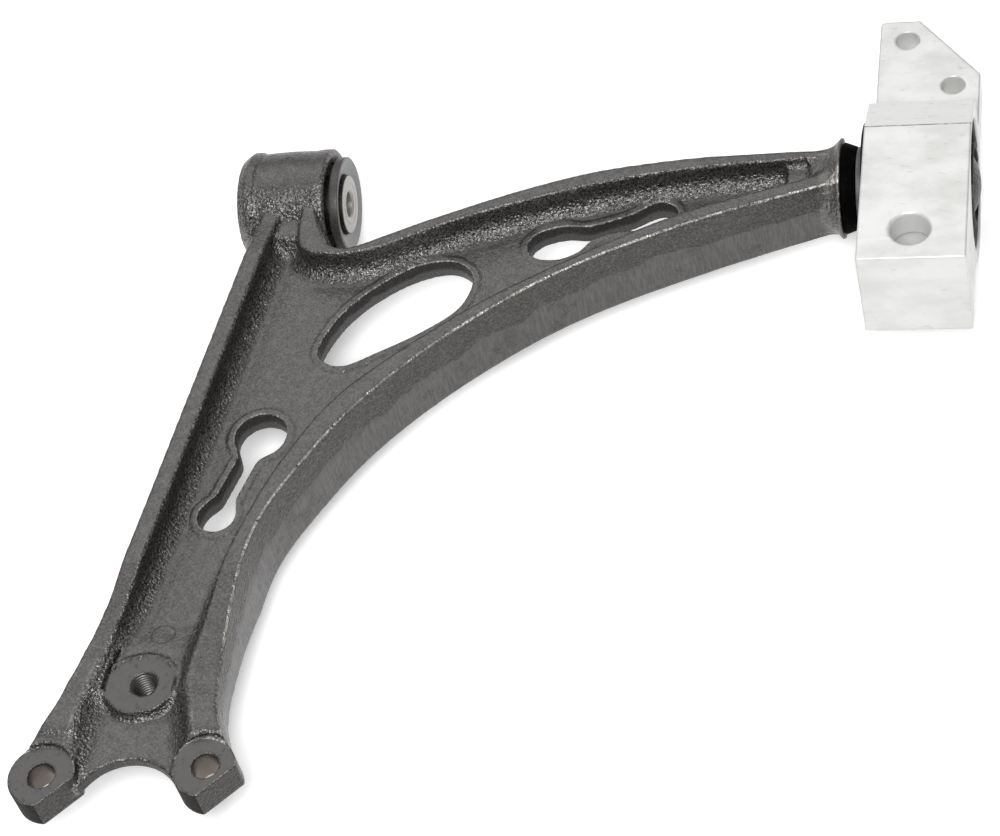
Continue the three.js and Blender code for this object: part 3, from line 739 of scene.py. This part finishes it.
class Shader:
    """Short names for the nodes of one material, whose surface is one Principled BSDF."""

    def __init__(self, name):
        self.material = bpy.data.materials.new(name)
        self.material.use_nodes = True
        self.tree = self.material.node_tree
        self.surface = self.tree.nodes["Principled BSDF"]
        place = self.node("ShaderNodeTexCoord").outputs["Object"]
        shift = self.vector("SUBTRACT", place, tuple(EYE_CENTRE))
        self.place = self.vector("SCALE", shift, scale=1 / MM)
        self.normal = self.node("ShaderNodeNewGeometry").outputs["Normal"]

    def node(self, kind, **settings):
        node = self.tree.nodes.new(kind)
        for key, value in settings.items():
            setattr(node, key, value)
        return node

    def join(self, socket, value):
        if isinstance(value, bpy.types.NodeSocket):
            self.tree.links.new(value, socket)
        else:
            socket.default_value = value

    def fill(self, node, **inputs):
        """Gives a node's inputs their values by name. An underscore stands for a space."""
        for name, value in inputs.items():
            self.join(node.inputs[name.replace("_", " ")], value)
        return node.outputs[0]

    def math(self, operation, *values):
        node = self.node("ShaderNodeMath", operation=operation)
        for socket, value in zip(node.inputs, values):
            self.join(socket, value)
        return node.outputs[0]

    def times(self, first, *others):
        """The product of the values."""
        for value in others:
            first = self.math("MULTIPLY", first, value)
        return first

    def most(self, first, *others):
        """The largest of the values."""
        for value in others:
            first = self.math("MAXIMUM", first, value)
        return first

    def size(self, value):
        """The value without its sign."""
        return self.math("ABSOLUTE", value)

    def vector(self, operation, *values, scale=None):
        node = self.node("ShaderNodeVectorMath", operation=operation)
        for socket, value in zip(node.inputs, values):
            self.join(socket, value)
        if scale is not None:
            self.fill(node, Scale=scale)
        return node.outputs["Value" if operation in ("LENGTH", "DISTANCE") else "Vector"]

    def part(self, vector, axis):
        node = self.node("ShaderNodeSeparateXYZ")
        self.join(node.inputs[0], vector)
        return node.outputs[axis]

    def pair(self, a, b):
        """A vector of two numbers and zero."""
        node = self.node("ShaderNodeCombineXYZ")
        self.join(node.inputs[0], a)
        self.join(node.inputs[1], b)
        return node.outputs[0]

    def from_upright(self, x, y):
        """Millimetres from an upright axis."""
        return self.vector("DISTANCE", self.vector("MULTIPLY", self.place, (1, 1, 0)), (x, y, 0))

    def from_swing(self):
        """Millimetres from the swing axis."""
        return self.vector("LENGTH", self.vector("MULTIPLY", self.place, (0, 1, 1)))

    def stretch(self, scale, turn=(0, 0, 0)):
        """The place in millimetres, squeezed or stretched along the axes."""
        node = self.node("ShaderNodeMapping")
        return self.fill(node, Vector=self.place, Scale=scale, Rotation=turn)

    def noise(self, size, detail=2.0, rough=0.5, vector=None, seed=0.0):
        """Noise whose features are about that many millimetres across."""
        node = self.node("ShaderNodeTexNoise", noise_dimensions="4D")
        place = vector or self.place
        return self.fill(node, Vector=place, Scale=1 / size, Detail=detail, Roughness=rough, W=seed)

    def pebbles(self, size, smooth):
        """Rounded grains about that many millimetres across."""
        node = self.node("ShaderNodeTexVoronoi", feature="SMOOTH_F1")
        self.fill(node, Vector=self.place, Scale=1 / size, Smoothness=smooth)
        return node.outputs["Distance"]

    def span(self, value, low, high, start=0.0, end=1.0):
        """The start value at low, the end value at high, and a smooth step between."""
        node = self.node("ShaderNodeMapRange", interpolation_type="SMOOTHSTEP")
        for socket, number in zip(node.inputs, (value, low, high, start, end)):
            self.join(socket, number)
        return node.outputs[0]

    def mix(self, factor, a, b):
        """A colour between a and b."""
        node = self.node("ShaderNodeMix", data_type="RGBA")
        self.join(node.inputs["Factor"], factor)
        for socket, colour in ((node.inputs[6], a), (node.inputs[7], b)):
            self.join(socket, colour if isinstance(colour, bpy.types.NodeSocket) else (*colour, 1))
        return node.outputs[2]

    def paint(self, colour, *layers):
        """Lays colours over each other, each given with how much of it shows."""
        for amount, layer in layers:
            colour = self.mix(amount, colour, layer)
        return colour

    def blend(self, factor, a, b):
        """A number between a and b."""
        node = self.node("ShaderNodeMix", data_type="FLOAT")
        for socket, value in zip(node.inputs[:1] + node.inputs[2:4], (factor, a, b)):
            self.join(socket, value)
        return node.outputs[0]

    def mark(self, name):
        return self.node("ShaderNodeAttribute", attribute_name=name).outputs["Fac"]

    def bump(self, height, depth, strength=1.0):
        """Surface relief from heights of 0 to 1, depth millimetres deep."""
        node = self.node("ShaderNodeBump")
        return self.fill(node, Height=height, Distance=depth * MM, Strength=strength)

    def set(self, **inputs):
        """Gives the surface its inputs, and returns the finished material."""
        self.fill(self.surface, **inputs)
        return self.material


# Base colours of the casting. Noise mixes the pairs.
IRON = {
    "skin": ((0.092, 0.088, 0.086), (0.112, 0.108, 0.106)),
    # painted glints: light specks, laid more on faces that are not level
    "painted_glint": (0.25, 0.24, 0.23),
    "dark_grain": (0.02, 0.018, 0.017),
    # painted sheen on the flare of the collar
    "collar": (0.170, 0.164, 0.158),
    # the outer wall is painted darker in fine spots: rough skin and painted shade
    "wall_spots_and_shade": (0.050, 0.047, 0.046),
    "ground": ((0.078, 0.075, 0.074), (0.128, 0.124, 0.122)),
    # walls of the openings: painted reflection, lighter, low down, and painted shade, darker, higher up
    "opening": ((0.13, 0.127, 0.125), (0.045, 0.042, 0.041)),
    # painted shade on the wall of the fork
    "fork": (0.06, 0.057, 0.055),
    # painted shade on the sides of the lugs
    "shaded_lug_side": (0.030, 0.028, 0.027),
    # painted shade on the round sides of the lugs
    "shaded_round_side": (0.016, 0.015, 0.014),
    "ring_mark": (0.03, 0.028, 0.027),
    "bore": (0.11, 0.092, 0.078),
    "machined": ((0.090, 0.088, 0.087), (0.112, 0.110, 0.108)),
    "pits": (0.05, 0.047, 0.045),
    "worn": (0.52, 0.50, 0.47),
    "stub_end": (0.03, 0.03, 0.03),
}


def iron_zones(s):
    """Where each finish of the casting lies, and where painted shade goes, mostly as amounts from 0 to 1."""
    z = s.part(s.place, 2)
    height = s.size(z)
    face = LUG["half"]
    up = s.size(s.part(s.normal, 2))
    upright = s.span(up, 0.75, 0.5)
    # machined faces: inside the circle of a lug or the pad, and level
    circles = [(x, y, LUG["radius"]) for x, y, _ in LUGS] + [(*end, PAD["radius"]) for end in PAD["ends"]]
    in_circle = s.most(*(s.span(s.from_upright(x, y), size + 0.1, size - 0.1) for x, y, size in circles))
    machined = s.times(in_circle, s.span(up, 0.93, 0.99), s.span(height, face - 0.25, face - 0.1))
    # the ground zone of the outer wall has an uneven upper edge, and rough patches left in it
    wall = s.mark("outer_wall")
    wall_place = s.pair(s.mark("along"), z)
    edge = s.math("ADD", z, s.times(s.noise(26, 2, 0.6, wall_place, 5), 17))
    patches = s.span(s.noise(15, 4, 0.6, wall_place, 1), 0.38, 0.46, 0.3, 1.0)
    # the sides of the lugs, painted darker as painted shade, the round part more than the flat
    lug_edge = s.mark("lug_edge")
    near_lug = s.span(lug_edge, 1.6, 1.0)
    below_face = s.span(height, face + 0.05, face - 0.25)
    shaded_lug_side = s.times(s.span(lug_edge, -1.6, -1.0), near_lug, upright, below_face)
    # the bores of the lugs, and the walls of the openings and of the fork
    hole = LUG["hole"]
    in_hole = s.most(*(s.span(s.from_upright(x, y), hole + 0.5, hole + 0.2) for x, y, _ in LUGS))
    opening = s.mark("opening")
    in_fork = s.span(s.from_upright(FORK["x"], FORK["y"]), FORK["radius"] + 0.9, FORK["radius"] + 0.4)
    return SimpleNamespace(
        x=s.part(s.place, 0),
        z=z,
        up=up,
        machined=machined,
        wall=wall,
        lines=s.noise(0.9, 3, 0.6, s.vector("MULTIPLY", wall_place, (1, 0.1, 0)), 3),
        ground=s.times(wall, s.span(edge, 12.0, 10.8), patches),
        lug_edge=lug_edge,
        near_lug=near_lug,
        shaded_lug_side=shaded_lug_side,
        # painted shade: the round sides, whose normals do not point along +X, are painted darkest
        shaded_round_side=s.times(shaded_lug_side, s.span(s.part(s.normal, 0), 0.35, 0.1)),
        bore=s.times(in_hole, upright),
        opening=opening,
        opening_wall=s.times(upright, s.span(opening, 0.7, 0.3)),
        fork=s.times(in_fork, upright),
    )


def iron_relief(s, zone):
    """Sand grain in two sizes, fainter on level faces, and fine lines where the outer wall is ground."""
    grain = s.math("ADD", s.noise(1.2, 2, 0.6, seed=7), s.times(s.pebbles(1.8, 0.4), 0.4))
    smooth = s.most(zone.machined, zone.bore, s.times(zone.ground, 0.9))
    calm = s.span(s.noise(18, 2, 0.5, seed=11), 0.35, 0.65, 0.75, 1.0)
    calm = s.times(calm, s.span(zone.up, 0.88, 0.99, 1.0, 0.36))
    cast = s.bump(grain, 1.0, s.blend(smooth, calm, 0.03))
    lines = s.bump(zone.lines, 0.22, s.times(zone.ground, 0.8))
    s.join(lines.node.inputs["Normal"], cast)
    return lines


def iron_wear(s, zone):
    """Bright metal along the edges of the ribs, the openings and the machined faces of the lugs."""
    wear = s.noise(1.6, 3, 0.7, seed=2)
    strong = s.times(
        s.span(s.mark("outer_edge"), -1.25, -0.85),
        s.span(wear, 0.36, 0.50),
        s.span(s.noise(34, 1, 0.5, seed=9), 0.38, 0.58, 0.3, 1.0),
        s.span(s.noise(9, 2, 0.6, seed=23), 0.35, 0.55, 0.25, 1.0),
    )
    faint = s.times(s.span(s.mark("rib_edge"), -1.15, -0.75), s.span(wear, 0.46, 0.64, 0.0, 0.2))
    ribs = s.times(s.most(strong, faint), s.math("SUBTRACT", 1.0, zone.machined))
    rims = s.times(s.span(zone.opening, 0.9, 0.5), s.span(zone.up, 0.55, 0.75))
    rims = s.times(rims, s.span(wear, 0.40, 0.60, 0.05, 0.4))
    cut_edge = s.times(s.span(zone.lug_edge, -0.7, -0.4), zone.near_lug, zone.machined)
    return s.most(ribs, rims, s.times(cut_edge, s.span(wear, 0.44, 0.56, 0.05, 0.8)))


def iron_colour(s, zone):
    speckle = s.noise(0.85, 1, 0.5, seed=13)
    plain = s.math("SUBTRACT", 1.0, s.times(zone.wall, 0.45))
    # how much speckle shows, more on faces that are not level: its light specks are painted glints, its dark
    # specks are grain
    glint_and_grain = s.times(s.span(zone.up, 0.72, 0.98, 0.78, 0.2), plain)
    # painted sheen: the flare of the collar is painted lighter
    collar = s.times(s.span(s.from_swing(), 29.6, 29.2), s.span(zone.x, 276, 279))
    spots = s.span(s.noise(1.2, 2, 0.6, seed=17), 0.40, 0.60, 0.45, 0.9)
    # a ragged height on the walls of the openings, where the painted reflection below turns to painted shade
    # above
    shade_height = s.math("ADD", zone.z, s.times(s.noise(9, 2, 0.5, seed=21), 6))
    mark_x, mark_y, mark_radius = RING_MARK
    from_mark = s.size(s.math("SUBTRACT", s.from_upright(mark_x, mark_y), mark_radius))
    gaps = s.span(s.noise(7, 1, 0.5, seed=31), 0.40, 0.55, 0.05, 0.5)
    pits = s.span(s.noise(2.2, 4, 0.7, seed=12), 0.56, 0.66, 0.0, 0.7)
    return s.paint(
        s.mix(s.span(s.noise(5, 3, 0.6), 0.35, 0.65), *IRON["skin"]),
        (s.times(s.span(speckle, 0.48, 0.62), glint_and_grain), IRON["painted_glint"]),
        (s.times(s.span(speckle, 0.48, 0.34), glint_and_grain), IRON["dark_grain"]),
        (s.times(collar, 0.5), IRON["collar"]),
        # rough skin and painted shade on the outer wall
        (s.times(zone.wall, spots), IRON["wall_spots_and_shade"]),
        (s.times(zone.ground, 0.85), s.mix(s.span(zone.lines, 0.3, 0.7), *IRON["ground"])),
        (s.times(zone.opening_wall, 0.85), s.mix(s.span(shade_height, 2.0, 4.5), *IRON["opening"])),
        # painted shade on the wall of the fork
        (s.times(zone.fork, 0.8), IRON["fork"]),
        # painted shade on the sides of the lugs
        (s.times(zone.shaded_lug_side, 0.8), IRON["shaded_lug_side"]),
        (s.times(s.span(from_mark, 0.75, 0.25), gaps), IRON["ring_mark"]),
        (s.times(zone.bore, s.span(zone.z, 0, 22, 0.95, 0.55)), IRON["bore"]),
        (zone.machined, s.mix(s.noise(3, 3), *IRON["machined"])),
        (s.times(zone.machined, pits), IRON["pits"]),
        (iron_wear(s, zone), IRON["worn"]),
        (s.span(zone.x, STUB["end"] - 10, STUB["end"] - 9), IRON["stub_end"]),
        # painted shade on the round sides of the lugs
        (zone.shaded_round_side, IRON["shaded_round_side"]),
    )


def cast_iron():
    s = Shader("coated_cast_iron")
    zone = iron_zones(s)
    rough = s.span(s.noise(1.3, 2, 0.6, seed=4), 0.3, 0.7, 0.30, 0.42)
    rough = s.blend(s.most(zone.opening_wall, zone.fork), rough, 0.55)
    rough = s.blend(zone.shaded_round_side, rough, 0.75)
    rough = s.blend(zone.machined, rough, 0.40)
    return s.set(
        Base_Color=iron_colour(s, zone),
        Roughness=rough,
        Metallic=0.85,
        Normal=iron_relief(s, zone),
    )


# Base colours of the bracket. A cloudy noise mixes the two of the skin.
ALUMINIUM = {
    "skin": ((0.70, 0.70, 0.69), (0.58, 0.58, 0.565)),
    # painted shade on the faces toward -Y
    "front": (0.42, 0.42, 0.41),
    # painted light on the faces toward +Y
    "back": (0.88, 0.88, 0.87),
    "scuff": (0.36, 0.355, 0.34),
    "scratch": (0.38, 0.38, 0.38),
    "dirt": (0.22, 0.18, 0.15),
    # painted light inside the bolt hole
    "bore_painted_light": (0.76, 0.76, 0.75),
}


def aluminium():
    """Sawn faces with clouds, scuffs and scratches, and a line of dirt along the ridge. Faces toward -Y get
    painted shade; faces toward +Y and the inside of the bolt hole get painted light.
    """
    s = Shader("sawn_aluminium")
    y, z = s.part(s.place, 1), s.part(s.place, 2)
    top = BRACKET["top"]
    saw_lines = s.noise(0.25, 3, 0.6, s.stretch((0.02, 1, 1)), 1)
    cloud = s.noise(14, 3, 0.6, s.stretch((0.5, 1, 1)), 2)
    scuff = s.span(s.noise(2.8, 4, 0.75, s.stretch((0.35, 1, 1)), 3), 0.56, 0.70)
    scratches = s.noise(0.9, 2, 0.5, s.stretch((1, 0.12, 0.3), (0.3, 0.2, 0.7)), 4)
    facing = s.part(s.normal, 1)
    from_ridge = s.size(s.math("SUBTRACT", y, BRACKET["ridge"] + 0.1))
    dirt = s.times(
        s.span(from_ridge, 0.65, 0.25),
        s.span(z, top - 1, top - 0.7),
        s.span(s.noise(2.5, 3, 0.7, seed=6), 0.36, 0.56, 0.3, 0.9),
    )
    # painted light inside the bolt hole, below its upper edge
    in_bore = s.span(s.from_upright(BOLT_HOLE["x"], BOLT_HOLE["y"]), 12.3, 12.1)
    colour = s.paint(
        s.mix(s.span(cloud, 0.35, 0.7), *ALUMINIUM["skin"]),
        # painted shade on the faces toward -Y
        (s.span(facing, -0.6, -0.9, 0.0, 0.35), ALUMINIUM["front"]),
        # painted light on the faces toward +Y
        (s.span(facing, 0.2, 0.35, 0.0, 0.7), ALUMINIUM["back"]),
        (s.times(scuff, 0.4), ALUMINIUM["scuff"]),
        (s.times(s.span(scratches, 0.69, 0.73), 0.3), ALUMINIUM["scratch"]),
        (dirt, ALUMINIUM["dirt"]),
        (s.times(in_bore, s.span(z, top - 0.4, top - 0.9)), ALUMINIUM["bore_painted_light"]),
    )
    rough = s.blend(saw_lines, 0.34, 0.52)
    return s.set(Base_Color=colour, Roughness=rough, Metallic=0.35, Normal=s.bump(saw_lines, 0.03, 0.5))


def turned_metal(name, dark, light, metallic, rough, rim=None):
    """A surface with fine rings round the swing axis. The rim is a radius and the two colours outside it."""
    streak = 0.4  # how much of the pattern is rings; the rest is grain
    s = Shader(name)
    radius = s.from_swing()
    rings = s.noise(0.35, 2, 0.6, s.pair(s.part(s.place, 0), radius), 1)
    grain = s.noise(1.1, 3, 0.6, seed=2)
    mixed = s.math("ADD", s.times(rings, streak), s.times(grain, 1 - streak))
    colour = s.mix(s.span(mixed, 0.35, 0.65), dark, light)
    if rim:
        edge, rim_dark, rim_light = rim
        tarnish = s.mix(s.span(grain, 0.5, 0.7), rim_dark, rim_light)
        colour = s.mix(s.span(radius, edge, edge + 0.15), colour, tarnish)
    return s.set(
        Base_Color=colour,
        Roughness=s.blend(grain, rough - 0.08, rough + 0.12),
        Metallic=metallic,
        Normal=s.bump(mixed, 0.06, 0.5),
    )


def rubber(name, lightness, shine):
    s = Shader(name)
    grain = s.noise(0.6, 3, 0.6, seed=1)
    bloom = s.span(s.noise(6, 3, 0.6, seed=2), 0.4, 0.7)
    return s.set(
        Base_Color=s.mix(bloom, (lightness,) * 3, (lightness * 3,) * 3),
        Roughness=s.blend(grain, 0.55, 0.75),
        Specular_IOR_Level=shine,
        Normal=s.bump(grain, 0.08, 0.4),
    )


# ---- the assembly

BODIES = {node: body for body, nodes in frame["record"]["behaviour"]["bodies"].items() for node in nodes}


def fit(piece, node, material, hides=True):
    """The piece stands for a CAD node: it rides on its body and has the material."""
    piece.data.materials.append(material)
    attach(piece, BODIES[node])
    if hides:
        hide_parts(node)


def build_arm():
    iron = cast_iron()
    black = rubber("moulded_rubber", 0.003, 0.25)
    casting, thread = arm_casting()
    fit(casting, "arm_casting", iron)
    cut = turned_metal("cut_thread", (0.05, 0.048, 0.046), (0.11, 0.107, 0.104), 0.8, 0.4)
    fit(thread, "arm_casting", cut, hides=False)
    fit(rear_bracket(), "rear_bracket", aluminium())
    fit(rear_rubber(), "rear_bush_rubber", black)
    finishes = {
        "front_bush_outer_sleeve": turned_metal("sleeve_steel", (0.015,) * 3, (0.03,) * 3, 0.2, 0.6),
        "front_bush_rubber": black,
        "front_bush_inner_sleeve": turned_metal(
            "hub_steel", (0.31, 0.30, 0.285), (0.45, 0.43, 0.41), 0.6, 0.42,
            rim=(14.9, (0.02, 0.018, 0.017), (0.10, 0.085, 0.07)),
        ),
        "front_bush_stop_disc": turned_metal(
            "disc_grey", (0.15, 0.15, 0.15), (0.24, 0.24, 0.245), 0.5, 0.42,
            rim=(24.3, (0.06, 0.055, 0.053), (0.11, 0.10, 0.096)),
        ),
        "rear_bush_outer_sleeve": black,
        "rear_bush_inner_core": turned_metal("core_grey", (0.05,) * 3, (0.12,) * 3, 0.4, 0.5),
        "rear_bush_stop_ring": rubber("matt_rubber", 0.001, 0.02),
    }
    for node, piece in turned_pieces().items():
        fit(piece, node, finishes[node])


# ---- the stage

CAMERA_PLACE = (456.9, -1033.4, 1160.0)  # from the middle of the front eye
CAMERA_HEADING = math.radians(-20.26)
CAMERA_PITCH = math.radians(50.67)
CAMERA_ROLL = math.radians(16.86)
LENS = 111.1
SENSOR_WIDTH = 36


def make_camera():
    camera = bpy.data.cameras.new("camera")
    camera.sensor_fit = "HORIZONTAL"
    camera.sensor_width = SENSOR_WIDTH
    camera.lens = LENS
    camera.clip_end = 20
    eye = bpy.data.objects.new("camera", camera)
    forward = Vector((
        math.sin(CAMERA_HEADING) * math.cos(CAMERA_PITCH),
        math.cos(CAMERA_HEADING) * math.cos(CAMERA_PITCH),
        -math.sin(CAMERA_PITCH),
    ))
    level = Vector((math.cos(CAMERA_HEADING), -math.sin(CAMERA_HEADING), 0))
    down = forward.cross(level)
    right = level * math.cos(CAMERA_ROLL) + down * math.sin(CAMERA_ROLL)
    lower = down * math.cos(CAMERA_ROLL) - level * math.sin(CAMERA_ROLL)
    turn = Matrix((right, -lower, -forward)).transposed()
    eye.matrix_world = Matrix.Translation(EYE_CENTRE + Vector(CAMERA_PLACE) * MM) @ turn.to_4x4()
    bpy.context.scene.collection.objects.link(eye)
    bpy.context.scene.camera = eye


def make_light(name, place, target, size, power):
    lamp = bpy.data.lights.new(name, "AREA")
    lamp.shape = "RECTANGLE"
    lamp.size, lamp.size_y = size
    lamp.energy = power
    light = bpy.data.objects.new(name, lamp)
    light.location = place
    light.rotation_euler = (Vector(target) - Vector(place)).to_track_quat("-Z", "Y").to_euler()
    bpy.context.scene.collection.objects.link(light)


WORLD_STRENGTH = 0.34
FLOOR = {"half": 30.0, "white": 0.93, "glow": 0.3}  # the glow makes it as white as a lit studio floor


def make_stage():
    scene = bpy.context.scene
    scene.view_settings.view_transform = "Standard"
    world = bpy.data.worlds.new("studio")
    world.use_nodes = True
    background = world.node_tree.nodes["Background"]
    background.inputs["Color"].default_value = (1, 1, 1, 1)
    background.inputs["Strength"].default_value = WORLD_STRENGTH
    scene.world = world
    size = FLOOR["half"]
    corners = [(-size, -size, 0), (size, -size, 0), (size, size, 0), (-size, size, 0)]
    mesh = bpy.data.meshes.new("floor")
    mesh.from_pydata(corners, [], [(0, 1, 2, 3)])
    floor = bpy.data.objects.new("floor", mesh)
    scene.collection.objects.link(floor)
    paint = bpy.data.materials.new("pale_floor")
    paint.use_nodes = True
    surface = paint.node_tree.nodes["Principled BSDF"]
    surface.inputs["Base Color"].default_value = (FLOOR["white"],) * 3 + (1,)
    surface.inputs["Roughness"].default_value = 0.9
    surface.inputs["Emission Color"].default_value = (1, 1, 1, 1)
    surface.inputs["Emission Strength"].default_value = FLOOR["glow"]
    mesh.materials.append(paint)
    make_light("front_softbox", (0.2, -1.0, 1.54), (0, 0, 0), (0.7, 0.6), 29)
    make_light("back_softbox", (-0.75, 1.4, 2.15), (0, 0, 0), (3.2, 2.4), 31)


build_arm()
make_camera()
make_stage()
